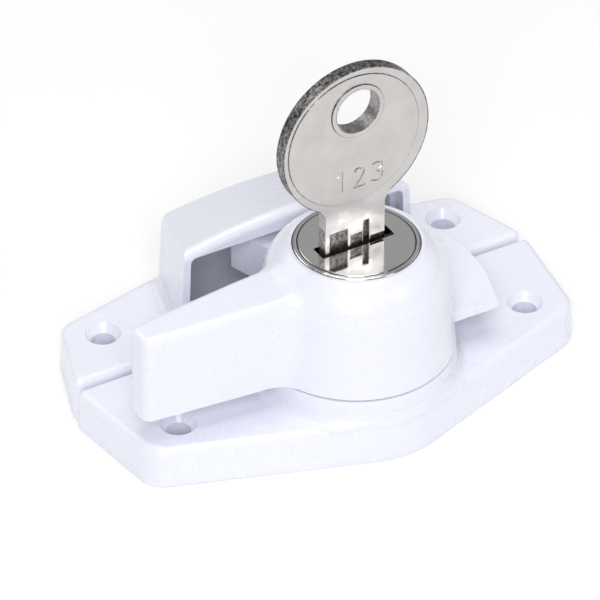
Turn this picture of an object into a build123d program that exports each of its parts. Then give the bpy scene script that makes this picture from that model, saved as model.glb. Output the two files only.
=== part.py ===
from build123d import *
import math
import os

# Keyed window lock. Millimetres, +Z up, +X along the plates, +Y towards the keeper.
# The origin is on the lever's axis, level with the underside of both plates.

# driving dimensions
FIX_X = 28.5            # half the distance between the fixing holes
HOLE_R = 1.8            # fixing hole
SINK_R = 2.65           # mouth of the countersink
SINK_DEPTH = 1.3

BASE_T = 6.4            # lock base plate thickness
BASE_BACK = 14.0        # back edge of the lock base
BASE_FRONT_SLANT = 18.67
BASE_END_SLANT = 8.8
BASE_END_D = 35.24      # distance of the end edge from the axis
BASE_CORNER = 4.5
BACK_CORNER = 1.2
PLATE_EDGE = 1.1        # rounding of both plates' top edges
TURRET_R = 15.0         # turret radius at the plate
TURRET_TOP_R = 14.3
TURRET_Z = 10.3
COVE = 1.6
CAVITY_R = 12.0         # hub plate chamber
CAVITY_Z = 5.0
WEB_Z = 2.4             # underside of the web that carries the lever
UNDER_R = 9.0

KEEP_T = 6.9            # keeper plate thickness
KEEP_FRONT = 14.2
KEEP_BACK_SLANT = 13.07
KEEP_BACK_D = 34.7
KEEP_END_SLANT = 17.8
KEEP_END_D = 40.17
KEEP_HOLE_Y = 22.9
KEEP_NOSE = 20.0
KEEP_CORNER = 3.0
BRIDGE_Y0 = 16.4        # open face of the bridge
BRIDGE_Y1 = 31.2        # back wall of the bridge
BRIDGE_W0 = 19.4        # half width at the open face
BRIDGE_W1 = 15.6        # half width at the back
BRIDGE_TOP = 23.5       # ridge height at the middle
BRIDGE_CROWN = 80.0     # radius of the crowned top, seen from the front
BRIDGE_FALL = 14.6      # slope of the top towards the back, degrees
BRIDGE_WALL = 1.4
BRIDGE_DRAFT = 3.5
BRIDGE_FOOT = 2.0       # blend between the bridge's walls and the plate
WINDOW_TOP = 20.2
WINDOW_W0 = 18.0        # half width of the window at the plate
WINDOW_W1 = 17.4        # and under the lintel

LEVER_Z = 10.55         # underside of the lever's rim
LEVER_R0 = 14.2         # barrel radius at the rim
LEVER_R1 = 13.35        # barrel radius where the dome starts
DOME_Z = 21.5
DOME_TOP = 27.5
DOME_TOP_R = 9.6
ARM_TIP = 34.9
ARM_TOP = 25.1
ARM_TIP_TOP = 24.3
ARM_BLEND = 5.0
CAM_R = 23.5
CAM_Z0 = 11.8
CAM_FRONT_Y = -5.1
CAM_END = 109.5         # direction of the cam's thick end, degrees from +X
CAM_LEVEL = 15.8        # height of the wedge's top plane on the axis
CAM_FALL_X = -0.114     # rise of the wedge's top per millimetre along +X
CAM_RISE_Y = 0.128      # and along +Y

HUB_R = 11.8
HUB_Z0 = 5.8
HUB_Z1 = 10.3
STUB_R = 4.0
STUB_Z0 = 0.5
SCREW_PCR = 9.7
SCREW_R = 1.1
STOP_PCR = 6.2
STOP_R = 0.8

BOLT_W = 4.8
BOLT_Z0 = 7.9
BOLT_Z1 = 10.2
BOLT_IN = -2.75
BOLT_OUT = -11.5
BOLT_THROW = 2.0
PIN_Y = -3.8
PIN_R = 0.85
DISC_R = 7.45
DISC_Z0 = 10.6
DISC_Z1 = 11.8
TAIL = 3.5              # square tail of the plug

BODY_R = 7.6
BODY_Z0 = 12.6
STEP_Z = 13.9           # shoulder in the lever above the cylinder clip
BEZEL_R = 9.0
BEZEL_Z0 = 26.0
BEZEL_Z1 = 27.6
PLUG_R = 5.55
HEAD_R = 8.3
HEAD_Z0 = 26.9
HEAD_Z1 = 27.7
KEYWAY_U = 4.7
KEYWAY_V = 1.08
KEYWAY_Z0 = 14.2
MOUTH_U0 = -6.2         # wide mouth of the keyway in the plug's head
MOUTH_U1 = 5.4
MOUTH_V = 1.4
WAFER_Z = (16.2, 18.2, 20.2, 22.2, 24.2)
WAFER_T = 0.8
WAFER_U = 5.0
WAFER_V = 2.1
WAFER_SLOT_U = 4.6      # half length of the wafer's window

KEY_TURN = 1.0          # direction of the key's plane from +X
KEY_T = 1.9
KEY_TIP = 15.0
BLADE_U0 = -4.45        # edges of the blade, along the key's plane
BLADE_U1 = 3.95
NECK_U0 = -5.55         # the neck above the shoulder is wider
NECK_Z = 26.9
BOW_R = 11.55
BOW_U = -0.75
BOW_Z = 45.4
BOW_BLEND = 2.2
FIELD_R = 10.3          # raised middle of the bow
FIELD_U = -1.2
FIELD_Z = 45.7
FIELD_RISE = 0.12
RING_R = 3.4            # hole for the key ring
RING_U = -0.7
RING_Z = 50.4
COLLAR_R = 4.1
COLLAR_RISE = 0.3
# grooves milled up the blade: side (1 is the front), edges, depth and top
GROOVES = (
    (1, -4.95, -1.95, 0.55, 31.1),
    (1, -1.6, 0.4, 0.25, 29.8),
    (1, 0.45, 1.5, 0.75, 31.6),
    (1, 1.6, 3.95, 0.3, 28.6),
    (-1, -1.3, 1.0, 0.5, 31.0),
)

# strokes of the stamped key number, each digit about its own foot
DIGITS = (
    [(-0.55, 2.4), (0.15, 3.1), (0.15, 0.0)],
    [(-0.8, 2.4), (-0.55, 2.95), (0.0, 3.1), (0.6, 2.85), (0.75, 2.3), (0.4, 1.5), (-0.8, 0.0), (0.85, 0.0)],
    [(-0.7, 2.9), (0, 3.1), (0.65, 2.85), (0.7, 2.1), (0, 1.65), (0.8, 1.2), (0.7, 0.3), (0, 0), (-0.8, 0.3)],
)
DIGIT_U = -3.25         # middle of the first digit
DIGIT_PITCH = 2.9
DIGIT_Z = 37.8
DIGIT_W = 0.34          # stroke width
DIGIT_DEPTH = 0.16

LOW = (Align.CENTER, Align.CENTER, Align.MIN)


def rod(r, z0, z1, x=0.0, y=0.0):
    return Pos(x, y, z0) * Cylinder(r, z1 - z0, align=LOW)


def ring(r1, r0, z0, z1):
    return rod(r1, z0, z1) - rod(r0, z0 - 1, z1 + 1)


def taper_rod(r0, r1, z0, z1, x=0.0, y=0.0):
    return Pos(x, y, z0) * Cone(r0, r1, z1 - z0, align=LOW)


def block(x0, x1, y0, y1, z0, z1):
    return Pos(x0, y0, z0) * Box(x1 - x0, y1 - y0, z1 - z0, align=(Align.MIN,) * 3)


def polar(r, deg):
    return (r * math.cos(math.radians(deg)), r * math.sin(math.radians(deg)))


def polygon(points):
    return make_face(Polyline(*points, close=True))


def near(shape, x0, x1, y0, y1):
    return [v for v in shape.vertices() if x0 < v.X < x1 and y0 < v.Y < y1]


def meet(n1, d1, n2, d2):
    # crossing point of two lines, each given by its unit normal and distance
    det = n1[0] * n2[1] - n1[1] * n2[0]
    return ((d1 * n2[1] - d2 * n1[1]) / det, (n1[0] * d2 - n2[0] * d1) / det)


def fixing_holes(y, top):
    cut = Part()
    for x in (-FIX_X, FIX_X):
        cut += rod(HOLE_R, -1, top + 1, x, y)
        cut += taper_rod(HOLE_R, SINK_R, top - SINK_DEPTH, top, x, y)
        cut += rod(SINK_R, top, top + 1, x, y)
    return cut


def base_outline():
    front = polar(1.0, BASE_FRONT_SLANT - 90)
    end = polar(1.0, -BASE_END_SLANT)
    corner = meet(front, TURRET_R, end, BASE_END_D)
    back_x = (BASE_END_D - BASE_BACK * end[1]) / end[0]
    nose = (0.0, TURRET_R / front[1])
    right = [nose, corner, (back_x, BASE_BACK)]
    left = [(-back_x, BASE_BACK), (-corner[0], corner[1])]
    face = polygon(right + left)
    face = fillet(near(face, -1, 1, -20, -10), TURRET_R)
    face = fillet(near(face, -50, 50, -8, 0), BASE_CORNER)
    return fillet(near(face, -50, 50, 10, 20), BACK_CORNER)


def turret_cove():
    # concave blend between the turret's wall and the plate
    r = TURRET_R - 0.5
    low = BASE_T - 0.5
    mid = COVE * (1 - math.sqrt(0.5))
    hollow = ThreePointArc((r + COVE, BASE_T), (r + mid, BASE_T + mid), (r, BASE_T + COVE))
    corners = [(r, BASE_T + COVE), (r - 2, BASE_T + COVE), (r - 2, low), (r + COVE, low), (r + COVE, BASE_T)]
    rest = Polyline(*corners)
    return revolve(make_face(Plane.XZ * Curve([hollow, rest])), Axis.Z)


def lock_base():
    plate = extrude(base_outline(), amount=BASE_T, taper=2.0)
    plate = fillet(plate.edges().group_by(Axis.Z)[-1], PLATE_EDGE)
    limit = extrude(base_outline(), amount=TURRET_Z, taper=1.0)
    turret = taper_rod(TURRET_R - 0.15, TURRET_TOP_R, 0.0, TURRET_Z)
    solid = plate + ((turret + turret_cove()) & limit)
    solid -= rod(CAVITY_R, CAVITY_Z, TURRET_Z + 1)
    solid -= rod(UNDER_R, -1, WEB_Z)
    solid -= rod(STUB_R + 0.05, 0, CAVITY_Z + 1)
    for side in (-1, 1):
        # notches that take the bolt with the lever closed and opened
        solid -= Pos(0, side * 12.0, 7.7) * Box(BOLT_W + 0.4, 3.2, 4.0, align=LOW)
        # moulded recesses under the plate
        inner = [(side * 17.5, 11.5), (side * 17.5, -6.2), (side * 22.6, -4.4), (side * 22.6, 11.5)]
        solid -= Pos(0, 0, -1) * extrude(polygon(inner), amount=4.4)
    solid -= rod(STOP_R, WEB_Z - 1, CAVITY_Z + 1, 0, STOP_PCR)
    return solid - fixing_holes(0.0, BASE_T)


def stop_pin():
    return rod(STOP_R, WEB_Z, 7.0, 0, STOP_PCR)


def bridge_outline(inset, front):
    w0 = BRIDGE_W0 - inset
    w1 = BRIDGE_W1 - inset
    back = BRIDGE_Y1 - inset
    lean = (w0 - w1) / (back - BRIDGE_Y0)
    w0 -= lean * (front - BRIDGE_Y0)
    face = polygon([(w0, front), (w1, back), (-w1, back), (-w0, front)])
    return fillet(near(face, -50, 50, back - 1, back + 1), max(2.4 - inset, 1.0))


def crown(drop):
    # everything below the crowned, falling roof surface, lowered by drop
    r = BRIDGE_CROWN
    drum = Pos(0, 0, BRIDGE_TOP - r - drop) * Rot(90, 0, 0) * Cylinder(r, 80)
    drum = Pos(0, BRIDGE_Y0, BRIDGE_TOP) * Rot(-BRIDGE_FALL, 0, 0) * Pos(0, 0, -BRIDGE_TOP) * drum
    return drum & block(-30, 30, 0, 50, -5, 40)


def keeper_outline():
    back = polar(1.0, 90 - KEEP_BACK_SLANT)
    end = polar(1.0, KEEP_END_SLANT)
    corner = meet(back, KEEP_BACK_D, end, KEEP_END_D)
    front_x = (KEEP_END_D - KEEP_FRONT * end[1]) / end[0]
    apex = (0.0, KEEP_BACK_D / back[1])
    right = [(front_x, KEEP_FRONT), corner, apex]
    left = [(-corner[0], corner[1]), (-front_x, KEEP_FRONT)]
    face = polygon(right + left)
    face = fillet(near(face, -1, 1, 30, 40), KEEP_NOSE)
    face = fillet(near(face, -50, 50, 25, 30), KEEP_CORNER)
    return fillet(near(face, -50, 50, 10, 20), BACK_CORNER)


def keeper():
    plate = extrude(keeper_outline(), amount=KEEP_T, taper=2.0)
    plate = fillet(plate.edges().group_by(Axis.Z)[-1], PLATE_EDGE)
    outer = extrude(bridge_outline(0.0, 8.0), amount=40 - KEEP_T, taper=BRIDGE_DRAFT)
    housing = (Pos(0, 0, KEEP_T - 1) * outer) & crown(0.0) & block(-30, 30, BRIDGE_Y0, 40, 0, 40)
    roof = housing.edges().filter_by(lambda e: e.center().Z > 17.5)
    housing = fillet(roof, 1.2)
    solid = plate + housing
    plate_top = solid.edges().filter_by(lambda e: abs(e.center().Z - KEEP_T) < 0.1 and e.center().Y > 17)
    foot = [e for e in plate_top if max(abs(v.X) for v in e.vertices()) < 20.5]
    solid = fillet(foot, BRIDGE_FOOT)
    inner = bridge_outline(BRIDGE_WALL, 8.0)
    hollow = Pos(0, 0, KEEP_T - 1) * extrude(inner, amount=40 - KEEP_T, taper=BRIDGE_DRAFT)
    hollow = (hollow + Pos(0, 0, -1) * extrude(inner, amount=KEEP_T + 1)) & crown(1.8)
    hollow &= block(-30, 30, BRIDGE_Y0 + 2.2, 40, -2, 40)
    sill = [(-WINDOW_W0, KEEP_T), (WINDOW_W0, KEEP_T), (WINDOW_W1, WINDOW_TOP), (-WINDOW_W1, WINDOW_TOP)]
    opening = fillet(polygon(sill).vertices(), 1.0)
    mouth = Pos(0, BRIDGE_Y0 + 2.3, 0) * extrude(Plane.XZ * opening, amount=8)
    solid -= hollow
    solid -= mouth
    for side in (-1, 1):
        x0 = side * 20.6
        x1 = side * 23.4
        recess = [(x0, 17.0), (x1, 17.0), (x1, 28.6), (x0, 29.2)]
        solid -= Pos(0, 0, -1) * extrude(polygon(recess), amount=4.4)
    return solid - fixing_holes(KEEP_HOLE_Y, KEEP_T)


def barrel():
    wall = Line((LEVER_R0, LEVER_Z), (LEVER_R1, DOME_Z))
    tangent = (LEVER_R1 - LEVER_R0, DOME_Z - LEVER_Z)
    dome = TangentArc((LEVER_R1, DOME_Z), (DOME_TOP_R, DOME_TOP), tangent=tangent)
    rest = Polyline((DOME_TOP_R, DOME_TOP), (0, DOME_TOP), (0, LEVER_Z), (LEVER_R0, LEVER_Z))
    face = make_face(Plane.XZ * Curve([wall, dome, rest]))
    return revolve(face, Axis.Z)


def arm():
    side = [(-ARM_TIP, LEVER_Z), (-ARM_TIP + 0.3, ARM_TIP_TOP), (-8, ARM_TOP), (0, ARM_TOP), (0, LEVER_Z)]
    prism = extrude(Plane.XZ * polygon(side), amount=10, both=True)
    plan = [(-37, -2.2), (-25, -3.3), (-18, -3.95), (0, -5.0)]
    plan = plan + [(x, -y) for x, y in reversed(plan)]
    face = polygon(plan)
    prism = prism & extrude(face, amount=40)
    tip = prism.edges().filter_by(lambda e: e.center().X < -34 and e.length > 10)
    prism = fillet(tip, 1.5)
    return fillet(prism.edges().filter_by(lambda e: e.center().Z > 24), 1.2)


def cam():
    tip = (20.6, CAM_FRONT_Y)
    heel = polar(CAM_R, CAM_END)
    rim = [(21.75, -1.0), (22.4, 2.4), polar(23.1, 15), polar(CAM_R, 35), polar(CAM_R, 60), polar(CAM_R, 88)]
    outer = Spline(tip, *rim, heel)
    rest = Polyline(heel, polar(6.0, CAM_END), (4, 0), (4, CAM_FRONT_Y), tip)
    body = Pos(0, 0, CAM_Z0) * extrude(make_face(Curve([outer, rest])), amount=12)
    top = Plane(origin=(0, 0, CAM_LEVEL), z_dir=(-CAM_FALL_X, -CAM_RISE_Y, 1))
    return split(body, bisect_by=top, keep=Keep.BOTTOM)


def lever():
    solid = barrel() + arm()
    joint = solid.edges().filter_by(lambda e: -16 < e.center().X < -7 and e.center().Z > 11)
    curved = [e for e in joint if e.geom_type in (GeomType.HYPERBOLA, GeomType.BSPLINE)]
    solid = fillet(curved, ARM_BLEND)
    solid += cam()
    solid += rod(HUB_R - 0.2, HUB_Z1, LEVER_Z + 1)
    solid -= rod(8.3, 0, STEP_Z)
    solid -= rod(BODY_R + 0.05, 0, 40)
    solid -= rod(BEZEL_R + 0.1, BEZEL_Z0, 40)
    for deg in (90, 210, 330):
        x, y = polar(SCREW_PCR, deg)
        solid -= rod(SCREW_R, 0, 16.5, x, y)
    return solid


def hub_plate():
    solid = rod(HUB_R, HUB_Z0, HUB_Z1) + rod(STUB_R, STUB_Z0, HUB_Z0)
    solid -= ring(STUB_R + 1, STUB_R - 0.6, 0.85, 1.6)
    solid -= block(-BOLT_W / 2 - 0.1, BOLT_W / 2 + 0.1, -15, BOLT_IN + 0.3, BOLT_Z0 - 0.1, 15)
    solid -= rod(2.75, 9.2, 15)
    slot = ring(STOP_PCR + 1.0, STOP_PCR - 1.0, HUB_Z0 - 1, 7.2)
    slot &= block(0, 10, -10, 10, 0, 10) + rod(1.0, 0, 10, 0, STOP_PCR) + rod(1.0, 0, 10, 0, -STOP_PCR)
    solid -= slot
    for deg in (90, 210, 330):
        x, y = polar(SCREW_PCR, deg)
        solid -= rod(SCREW_R, 0, 15, x, y)
        solid -= taper_rod(1.85, SCREW_R, HUB_Z0, HUB_Z0 + 0.75, x, y)
    return solid


def hub_screws():
    screws = []
    for deg in (90, 210, 330):
        x, y = polar(SCREW_PCR, deg)
        screw = rod(SCREW_R, HUB_Z0 + 0.05, 16.0, x, y)
        screw += taper_rod(1.8, SCREW_R, HUB_Z0 + 0.05, HUB_Z0 + 0.75, x, y)
        screw -= Pos(x, y, HUB_Z0 - 0.2) * Rot(0, 0, deg) * Box(4, 0.5, 0.6, align=LOW)
        screws.append(screw)
    return Compound(children=screws)


def thrust_washer():
    return ring(11.2, 7.4, CAVITY_Z, HUB_Z0)


def spring_washer():
    return ring(7.0, STUB_R + 0.2, 1.6, WEB_Z)


def retaining_ring():
    c_ring = ring(6.2, STUB_R - 0.6, 0.85, 1.6)
    return c_ring - block(-2.0, 2.0, 0, 10, 0, 5)


def locking_bolt():
    half = BOLT_W / 2
    solid = block(-half, half, BOLT_OUT, BOLT_IN, BOLT_Z0, BOLT_Z1)
    nose = solid.edges().filter_by(Axis.Z).group_by(Axis.Y)[0]
    solid = fillet(nose, 0.5)
    return solid + rod(PIN_R, BOLT_Z1 - 0.5, DISC_Z1 - 0.1, 0, PIN_Y)


def drive_disc():
    solid = rod(DISC_R, DISC_Z0, DISC_Z1)
    solid -= Rot(0, 0, KEY_TURN) * Box(TAIL + 0.1, TAIL + 0.1, 40)
    for step in range(0, 37):
        turn = step * 2.5
        x, y = polar(-PIN_Y + BOLT_THROW * turn / 90, -90 - turn)
        solid -= rod(PIN_R + 0.12, 0, 15, x, y)
    return solid


def tail_screw():
    solid = rod(2.4, 9.5, DISC_Z0) + rod(1.0, 9.5, 13.2)
    return solid - Pos(0, 0, 9.3) * Box(6, 0.6, 0.7, align=LOW)


def cylinder_body():
    solid = rod(BODY_R, BODY_Z0, BEZEL_Z0 + 0.2) + rod(BEZEL_R, BEZEL_Z0, BEZEL_Z1)
    rim = solid.edges().group_by(Axis.Z)[-1]
    solid = fillet(rim, 0.35)
    solid -= rod(PLUG_R + 0.05, 0, 40)
    solid -= rod(HEAD_R + 0.05, HEAD_Z0 - 0.05, 40)
    return solid - ring(10, 7.0, 13.1, STEP_Z)


def cylinder_clip():
    clip = ring(8.2, 7.0, 13.15, STEP_Z)
    return clip - block(-3.0, 3.0, 0, 10, 10, 15)


def spring_pocket(z):
    return block(-1.8, 2.3, WAFER_V - 0.1, 3.9, z - 0.65, z + 0.65)


def plug():
    solid = rod(PLUG_R, 11.9, HEAD_Z1 - 0.2) + rod(HEAD_R, HEAD_Z0, HEAD_Z1)
    solid = fillet(solid.edges().group_by(Axis.Z)[-1], 0.25)
    solid += Pos(0, 0, DISC_Z0) * Box(TAIL, TAIL, 2.0, align=LOW)
    solid -= rod(1.0, 0, 13.4)
    solid -= ring(7, 4.7, 12.0, 12.6)
    solid -= block(-KEYWAY_U, KEYWAY_U, -KEYWAY_V, KEYWAY_V, KEYWAY_Z0, 40)
    solid -= block(MOUTH_U0, MOUTH_U1, -MOUTH_V, MOUTH_V, HEAD_Z0 - 0.2, 40)
    for z in WAFER_Z:
        solid -= block(-6, 6, -WAFER_V - 0.05, WAFER_V + 0.05, z - WAFER_T / 2 - 0.05, z + WAFER_T / 2 + 0.05)
        solid -= spring_pocket(z)
    return Rot(0, 0, KEY_TURN) * solid


def plug_circlip():
    clip = ring(6.6, 4.7, 12.0, 12.6)
    return Rot(0, 0, KEY_TURN) * (clip - block(0, 10, -1.6, 1.6, 10, 15))


def wafer(z):
    solid = Pos(0, 0, z) * Box(2 * WAFER_U, 2 * WAFER_V, WAFER_T)
    solid += Pos(1.75, WAFER_V + 0.75, z) * Box(0.8, 1.7, WAFER_T)
    solid -= Pos(0, 0, z) * Box(2 * WAFER_SLOT_U, KEY_T + 0.2, 5)
    return Rot(0, 0, KEY_TURN) * solid


def wafer_springs():
    springs = []
    for z in WAFER_Z:
        coil = Helix(pitch=0.62, height=3.0, radius=0.42)
        wire = sweep(Plane(coil @ 0, z_dir=coil % 0) * Circle(0.11), coil, is_frenet=True)
        springs.append(Rot(0, 0, KEY_TURN) * Pos(-1.72, 3.0, z) * Rot(0, 90, 0) * wire)
    return Compound(children=springs)


def stroke(points):
    # a band of constant width with round ends and corners
    band = Sketch()
    for (x0, y0), (x1, y1) in zip(points, points[1:]):
        length = math.hypot(x1 - x0, y1 - y0)
        slant = math.degrees(math.atan2(y1 - y0, x1 - x0))
        band += Pos((x0 + x1) / 2, (y0 + y1) / 2) * Rot(0, 0, slant) * Rectangle(length, DIGIT_W)
    for x, y in points:
        band += Pos(x, y) * Circle(DIGIT_W / 2)
    return band


def key_number(face_y):
    number = Sketch()
    for place, points in enumerate(DIGITS):
        number += Pos(DIGIT_U + place * DIGIT_PITCH, DIGIT_Z) * stroke(points)
    return Pos(0, -face_y + DIGIT_DEPTH, 0) * extrude(Plane.XZ * number, amount=DIGIT_DEPTH + 1)


def key():
    half = KEY_T / 2
    tip = [(BLADE_U0, KEY_TIP + 2.2), (BLADE_U0 + 2.2, KEY_TIP), (BLADE_U1 - 2.2, KEY_TIP)]
    neck = [(BLADE_U1, BOW_Z - 6), (NECK_U0, BOW_Z - 6), (NECK_U0, NECK_Z), (BLADE_U0, NECK_Z)]
    face = polygon(tip + [(BLADE_U1, KEY_TIP + 2.2)] + neck) + Pos(BOW_U, BOW_Z) * Circle(BOW_R)
    face = fillet(near(face, -8, 8, 30, 40), BOW_BLEND)
    for z, depth in zip(WAFER_Z, (0.9, 1.5, 0.6, 1.8, 1.2)):
        notch = [(BLADE_U1 + 1, z - 1.0), (BLADE_U1 + 1, z + 1.0), (BLADE_U1, z + 0.95)]
        notch += [(BLADE_U1 - depth, z + 0.4), (BLADE_U1 - depth, z - 0.4), (BLADE_U1, z - 0.95)]
        face -= polygon(notch)
    eye = Pos(RING_U, RING_Z) * Circle(RING_R)
    solid = extrude(Plane.XZ * (face - eye), amount=half, both=True)
    field = Pos(FIELD_U, FIELD_Z) * Circle(FIELD_R) - eye
    solid += extrude(Plane.XZ * field, amount=half + FIELD_RISE, both=True)
    collar = Pos(RING_U, RING_Z) * Circle(COLLAR_R) - eye
    solid += extrude(Plane.XZ * collar, amount=half + COLLAR_RISE, both=True)
    for side, u0, u1, depth, top in GROOVES:
        y0, y1 = sorted((-side * (half - depth), -side * 3))
        solid -= block(u0, u1, y0, y1, 0, top)
    return Rot(0, 0, KEY_TURN) * (solid - key_number(half + FIELD_RISE))


PARTS = {
    "lock_base": lock_base,
    "stop_pin": stop_pin,
    "thrust_washer": thrust_washer,
    "keeper": keeper,
    "lever": lever,
    "hub_plate": hub_plate,
    "hub_screws": hub_screws,
    "spring_washer": spring_washer,
    "retaining_ring": retaining_ring,
    "locking_bolt": locking_bolt,
    "cylinder_body": cylinder_body,
    "cylinder_clip": cylinder_clip,
    "plug": plug,
    "plug_circlip": plug_circlip,
    "drive_disc": drive_disc,
    "tail_screw": tail_screw,
    "wafer_springs": wafer_springs,
    "key": key,
}

os.makedirs("parts", exist_ok=True)
for name, make in PARTS.items():
    export_step(make(), "parts/" + name + ".step")
for index, height in enumerate(WAFER_Z, start=1):
    export_step(wafer(height), "parts/wafer_" + str(index) + ".step")
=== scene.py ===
import math

import bpy
from mathutils import Matrix, Vector

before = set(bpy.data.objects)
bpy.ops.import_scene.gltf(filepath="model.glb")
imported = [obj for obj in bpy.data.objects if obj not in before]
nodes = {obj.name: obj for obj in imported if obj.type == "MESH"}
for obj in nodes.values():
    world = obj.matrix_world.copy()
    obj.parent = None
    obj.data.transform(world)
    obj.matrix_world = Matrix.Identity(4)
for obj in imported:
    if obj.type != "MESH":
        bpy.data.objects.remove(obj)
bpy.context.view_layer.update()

# camera in the lock's own frame: places and clip end in metres, roll in degrees, lens and sensor in mm
CAMERA_AT = (-0.2280, -0.3849, 0.3544)
CAMERA_AIM = (-0.0043, 0.0083, 0.0135)
CAMERA_ROLL = 0.085
CAMERA_LENS = 238.9
SENSOR_WIDTH = 36.0
CLIP_END = 20.0

# bezel and plug, metres: where the painted shade starts, close to the CAD part's own edges
BEZEL_MIDDLE = 0.00868
BEZEL_UNSHADED = 0.00022
BEZEL_FADE = 0.00012
PLUG_FACE = 0.02765
PLUG_FADE = 0.00008

# key, metres: centres as in the CAD part, and edges of the dirt and painted shade close to its own
# edges
BOW_CENTER = (-0.00075, 0.0, 0.0454)
BOW_RIM = 0.01135
EYE_CENTER = (-0.0007, 0.0, 0.0504)
EYE_RIM = 0.00345
FIELD_CENTER = (-0.0012, 0.0, 0.0457)
FIELD_RADIUS = 0.01034
COLLAR_RADIUS = 0.00413
STEP_LINE = 0.00004
STEP_FADE = 0.00005
NECK_TOP = 0.0352
NECK_FADE = 0.0003
GROOVE_TOP = 0.0316
GROOVE_FLOOR = -0.00082
MASK_FADE = 0.0001

# colours, linear
ENAMEL = (0.83, 0.845, 0.94)
ENAMEL_DARK = (0.826, 0.841, 0.937)
ENAMEL_LIGHT = (0.833, 0.848, 0.943)
PLUG_BRIGHT = (0.72, 0.71, 0.70)
# painted shade: the plug's keyway walls are painted this dark
PLUG_KEYWAY_SHADE = (0.10, 0.10, 0.10)
BEZEL_BRIGHT = (0.74, 0.73, 0.72)
# painted shade: the bezel's edges at the gaps are painted this dark
BEZEL_SEAM_SHADE = (0.09, 0.09, 0.10)
KEY_DARK = (0.56, 0.541, 0.531)
KEY_LIGHT = (0.66, 0.641, 0.629)
# dirt on the key's bow rim, the darker eye bore, and painted shade in its grooves and steps, all in
# these colours
DIRT_AND_SHADE_DARK = (0.05, 0.05, 0.05)
DIRT_AND_SHADE_LIGHT = (0.42, 0.41, 0.40)

# floor, metres
FLOOR_HALF = 3.0
FLOOR_DROP = 0.00005

WORLD_STRENGTH = 0.25


# ---------- node helpers ----------

class Mat:
    """A small builder for a procedural Principled material."""

    def __init__(self, name, color, metallic=0.0, roughness=0.4, **sockets):
        self.mat = bpy.data.materials.new(name)
        self.mat.use_nodes = True
        self.tree = self.mat.node_tree
        self.bsdf = self.tree.nodes["Principled BSDF"]
        self.set("Base Color", (*color, 1.0))
        self.set("Metallic", metallic)
        self.set("Roughness", roughness)
        for key, value in sockets.items():
            self.set(key.replace("_", " "), value)
        self.coord = self.add("ShaderNodeTexCoord").outputs["Object"]

    def set(self, socket, value):
        self.bsdf.inputs[socket].default_value = value

    def add(self, kind, **props):
        node = self.tree.nodes.new(kind)
        for key, value in props.items():
            setattr(node, key, value)
        return node

    def link(self, out, into):
        self.tree.links.new(out, into)

    def feed(self, socket, out):
        self.link(out, self.bsdf.inputs[socket])

    def noise(self, scale, detail=2.0, rough=0.5, stretch=None, turn=0.0):
        node = self.add("ShaderNodeTexNoise")
        node.inputs["Scale"].default_value = scale
        node.inputs["Detail"].default_value = detail
        node.inputs["Roughness"].default_value = rough
        source = self.coord
        if stretch:
            mapping = self.add("ShaderNodeMapping")
            mapping.inputs["Scale"].default_value = stretch
            mapping.inputs["Rotation"].default_value = (0.0, 0.0, turn)
            self.link(source, mapping.inputs["Vector"])
            source = mapping.outputs["Vector"]
        self.link(source, node.inputs["Vector"])
        return node.outputs["Fac"]

    def remap(self, value, low, high, from_low=0.3, from_high=0.7):
        node = self.add("ShaderNodeMapRange")
        node.inputs["From Min"].default_value = from_low
        node.inputs["From Max"].default_value = from_high
        node.inputs["To Min"].default_value = low
        node.inputs["To Max"].default_value = high
        self.link(value, node.inputs["Value"])
        return node.outputs["Result"]

    def ramp(self, value, stops):
        node = self.add("ShaderNodeValToRGB")
        ramp = node.color_ramp
        while len(ramp.elements) < len(stops):
            ramp.elements.new(0.5)
        for element, (at, color) in zip(ramp.elements, stops):
            element.position = at
            element.color = (*color, 1.0)
        self.link(value, node.inputs["Fac"])
        return node.outputs["Color"]

    def along(self, axis):
        node = self.add("ShaderNodeSeparateXYZ")
        self.link(self.coord, node.inputs["Vector"])
        return node.outputs[axis]

    def distance(self, point):
        # distance from a line through the point, parallel to Y
        flat = self.add("ShaderNodeVectorMath", operation="MULTIPLY")
        self.link(self.coord, flat.inputs[0])
        flat.inputs[1].default_value = (1.0, 0.0, 1.0)
        node = self.add("ShaderNodeVectorMath", operation="DISTANCE")
        self.link(flat.outputs["Vector"], node.inputs[0])
        node.inputs[1].default_value = point
        return node.outputs["Value"]

    def radius(self):
        # distance from the lock's own axis
        flat = self.add("ShaderNodeVectorMath", operation="MULTIPLY")
        self.link(self.coord, flat.inputs[0])
        flat.inputs[1].default_value = (1.0, 1.0, 0.0)
        node = self.add("ShaderNodeVectorMath", operation="LENGTH")
        self.link(flat.outputs["Vector"], node.inputs[0])
        return node.outputs["Value"]

    def math(self, operation, a, b):
        node = self.add("ShaderNodeMath", operation=operation)
        for value, socket in zip((a, b), node.inputs):
            if isinstance(value, float):
                socket.default_value = value
            else:
                self.link(value, socket)
        return node.outputs["Value"]

    def away(self, value, middle):
        # how far the value is from the middle, on either side
        return self.math("ABSOLUTE", self.math("SUBTRACT", value, middle), 0.0)

    def blend(self, fac, a, b):
        node = self.add("ShaderNodeMix", data_type="RGBA")
        self.link(fac, node.inputs["Factor"])
        self.link(a, node.inputs["A"])
        self.link(b, node.inputs["B"])
        return node.outputs["Result"]

    def bump(self, value, strength, distance, base=None):
        node = self.add("ShaderNodeBump")
        node.inputs["Strength"].default_value = strength
        node.inputs["Distance"].default_value = distance
        self.link(value, node.inputs["Height"])
        if base is not None:
            self.link(base, node.inputs["Normal"])
        return node.outputs["Normal"]


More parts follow.
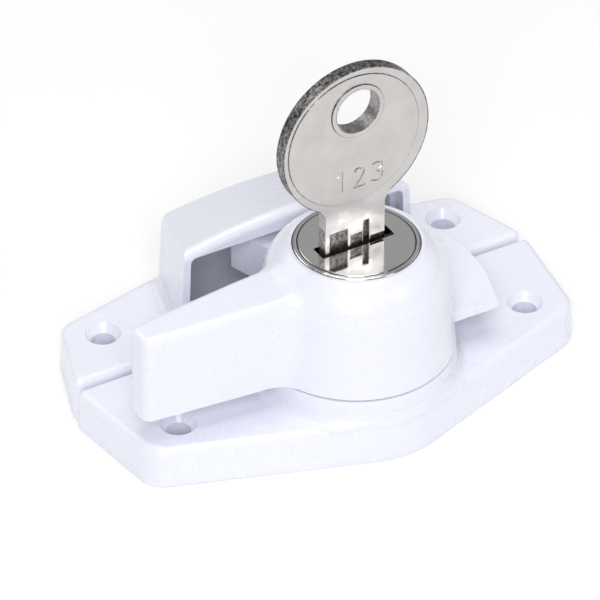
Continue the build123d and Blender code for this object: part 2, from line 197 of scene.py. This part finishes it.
def enamel():
    m = Mat("enamel_white", ENAMEL, roughness=0.28, Coat_Weight=0.35, Coat_Roughness=0.08)
    m.feed("Base Color", m.ramp(m.noise(55.0, 3.0), [(0.3, ENAMEL_DARK), (0.7, ENAMEL_LIGHT)]))
    m.feed("Roughness", m.remap(m.noise(240.0, 3.0), 0.24, 0.32))
    peel = m.bump(m.noise(1100.0, 2.0), 0.02, 0.0001)
    m.feed("Normal", m.bump(m.noise(260.0, 1.0), 0.012, 0.0002, peel))
    return m.mat


def plug_mirror():
    m = Mat("nickel_mirror", PLUG_BRIGHT, metallic=1.0, roughness=0.07)
    # painted shade: dark below its face, down the keyway's walls
    down = m.remap(m.along("Z"), 1.0, 0.0, PLUG_FACE - PLUG_FADE, PLUG_FACE)
    m.feed("Base Color", m.ramp(down, [(0.0, PLUG_BRIGHT), (1.0, PLUG_KEYWAY_SHADE)]))
    m.feed("Roughness", m.remap(m.noise(700.0, 4.0), 0.05, 0.13))
    fine = m.noise(160.0, 5.0, 0.6, stretch=(1.0, 9.0, 1.0), turn=0.3)
    m.feed("Normal", m.bump(fine, 0.04, 0.0002))
    return m.mat


def bezel_nickel():
    m = Mat("nickel_bezel", BEZEL_BRIGHT, metallic=1.0, roughness=0.16)
    # painted shade: darker where the bezel meets the lever and the plug, in the gaps between them
    around = m.away(m.radius(), BEZEL_MIDDLE)
    line = m.remap(around, 0.0, 1.0, BEZEL_UNSHADED, BEZEL_UNSHADED + BEZEL_FADE)
    m.feed("Base Color", m.ramp(line, [(0.0, BEZEL_BRIGHT), (1.0, BEZEL_SEAM_SHADE)]))
    m.feed("Roughness", m.remap(m.noise(500.0, 3.0), 0.11, 0.22))
    return m.mat


def key_nickel():
    m = Mat("nickel_key", (0.61, 0.59, 0.58), metallic=1.0, roughness=0.3)
    tone = m.ramp(m.noise(260.0, 6.0, 0.65), [(0.25, KEY_DARK), (0.75, KEY_LIGHT)])
    # unplated, dirty metal on the bow's rim, darker in the eye's bore, and painted shade down the
    # milled grooves
    dirt_and_shade = m.ramp(m.noise(1900.0, 6.0, 0.7), [(0.42, DIRT_AND_SHADE_DARK), (0.62, DIRT_AND_SHADE_LIGHT)])
    rim = m.remap(m.distance(BOW_CENTER), 0.0, 1.0, BOW_RIM, BOW_RIM + MASK_FADE)
    above = m.remap(m.along("Z"), 0.0, 1.0, NECK_TOP, NECK_TOP + NECK_FADE)
    rim = m.math("MULTIPLY", rim, above)
    eye = m.remap(m.distance(EYE_CENTER), 0.6, 0.0, EYE_RIM, EYE_RIM + MASK_FADE)
    below = m.remap(m.along("Z"), 1.0, 0.0, GROOVE_TOP, GROOVE_TOP + MASK_FADE)
    sunk = m.remap(m.along("Y"), 0.0, 0.85, GROOVE_FLOOR, GROOVE_FLOOR + MASK_FADE)
    dirt_and_shade_mask = m.math("MAXIMUM", m.math("MAXIMUM", rim, eye), m.math("MULTIPLY", below, sunk))
    # painted shade: a dark line in the steps around the raised field and the collar
    for center, radius in ((FIELD_CENTER, FIELD_RADIUS), (EYE_CENTER, COLLAR_RADIUS)):
        gap = m.away(m.distance(center), radius)
        step = m.remap(gap, 0.85, 0.0, STEP_LINE, STEP_LINE + STEP_FADE)
        dirt_and_shade_mask = m.math("MAXIMUM", dirt_and_shade_mask, step)
    m.feed("Base Color", m.blend(dirt_and_shade_mask, tone, dirt_and_shade))
    satin = m.remap(m.noise(420.0, 5.0), 0.24, 0.40)
    m.feed("Roughness", m.math("ADD", satin, m.math("MULTIPLY", dirt_and_shade_mask, 0.12)))
    grain = m.bump(m.noise(900.0, 4.0, 0.6, stretch=(1.0, 1.0, 0.25)), 0.12, 0.0002)
    m.feed("Normal", m.bump(m.noise(150.0, 3.0), 0.06, 0.0008, grain))
    return m.mat


def plain_steel():
    m = Mat("bright_steel", (0.60, 0.60, 0.61), metallic=1.0, roughness=0.32)
    m.feed("Roughness", m.remap(m.noise(600.0, 4.0), 0.25, 0.42))
    m.feed("Normal", m.bump(m.noise(1200.0, 3.0), 0.1, 0.0002))
    return m.mat


def plain_brass():
    m = Mat("wafer_brass", (0.74, 0.58, 0.30), metallic=1.0, roughness=0.34)
    m.feed("Roughness", m.remap(m.noise(600.0, 4.0), 0.26, 0.45))
    m.feed("Normal", m.bump(m.noise(1200.0, 3.0), 0.1, 0.0002))
    return m.mat


# ---------- CAD nodes ----------

BRASS = ("thrust_washer", "wafer_1", "wafer_2", "wafer_3", "wafer_4", "wafer_5")
WHITE = ("lock_base", "keeper", "lever")

white = enamel()
steel = plain_steel()
brass = plain_brass()
special = {"plug": plug_mirror(), "cylinder_body": bezel_nickel(), "key": key_nickel()}


def finish_of(name):
    if name in WHITE:
        return white
    if name in BRASS:
        return brass
    return special.get(name, steel)


for name, node in nodes.items():
    node.data.materials.clear()
    node.data.materials.append(finish_of(name))


# ---------- stage ----------

def add_light(name, size, power, at, aim):
    data = bpy.data.lights.new(name, "AREA")
    data.shape = "RECTANGLE"
    data.size, data.size_y = size
    data.energy = power
    light = bpy.data.objects.new(name, data)
    bpy.context.scene.collection.objects.link(light)
    light.location = at
    light.rotation_euler = (Vector(aim) - Vector(at)).to_track_quat("-Z", "Y").to_euler()


def add_floor():
    mesh = bpy.data.meshes.new("floor")
    far = FLOOR_HALF
    corners = [(-far, -far, 0), (far, -far, 0), (far, far, 0), (-far, far, 0)]
    mesh.from_pydata(corners, [], [(0, 1, 2, 3)])
    floor = bpy.data.objects.new("floor", mesh)
    bpy.context.scene.collection.objects.link(floor)
    floor.data.materials.append(Mat("floor_pale", (0.98, 0.98, 0.98), roughness=0.75).mat)
    floor.location = (0, 0, -FLOOR_DROP)


def add_world(color, strength):
    world = bpy.data.worlds.new("studio")
    bpy.context.scene.world = world
    world.use_nodes = True
    background = world.node_tree.nodes["Background"]
    background.inputs["Color"].default_value = (*color, 1.0)
    background.inputs["Strength"].default_value = strength


def add_camera():
    data = bpy.data.cameras.new("camera")
    data.lens = CAMERA_LENS
    data.sensor_width = SENSOR_WIDTH
    data.clip_end = CLIP_END
    camera = bpy.data.objects.new("camera", data)
    bpy.context.scene.collection.objects.link(camera)
    camera.location = CAMERA_AT
    look = (Vector(CAMERA_AIM) - Vector(CAMERA_AT)).to_track_quat("-Z", "Y")
    roll = Matrix.Rotation(math.radians(CAMERA_ROLL), 3, "Z")
    camera.rotation_euler = (look.to_matrix() @ roll).to_euler()
    bpy.context.scene.camera = camera


# name, size in metres, watts, place in metres
LIGHTS = (
    ("top_softbox", (0.6, 0.6), 3.5, (0.0, 0.0, 0.9)),
    ("camera_side_softbox", (0.5, 0.5), 6.3, (-0.45, -0.75, 0.7)),
    ("right_softbox", (0.6, 0.6), 0.4, (0.9, 0.0, 0.4)),
    ("back_left_softbox", (0.6, 0.5), 1.4, (-0.45, 0.75, 0.6)),
    ("back_right_panel", (0.8, 0.8), 0.34, (0.4, 0.68, 0.6)),
    ("front_right_softbox", (0.25, 0.25), 0.75, (0.434, -0.675, 0.6)),
)
LIGHT_AIM = (0.0, 0.01, 0.012)

add_floor()
add_world((1.0, 1.0, 1.0), WORLD_STRENGTH)
for name, size, power, at in LIGHTS:
    add_light(name, size, power, at, LIGHT_AIM)
add_camera()
bpy.context.scene.view_settings.view_transform = "Standard"

bpy.context.view_layer.update()
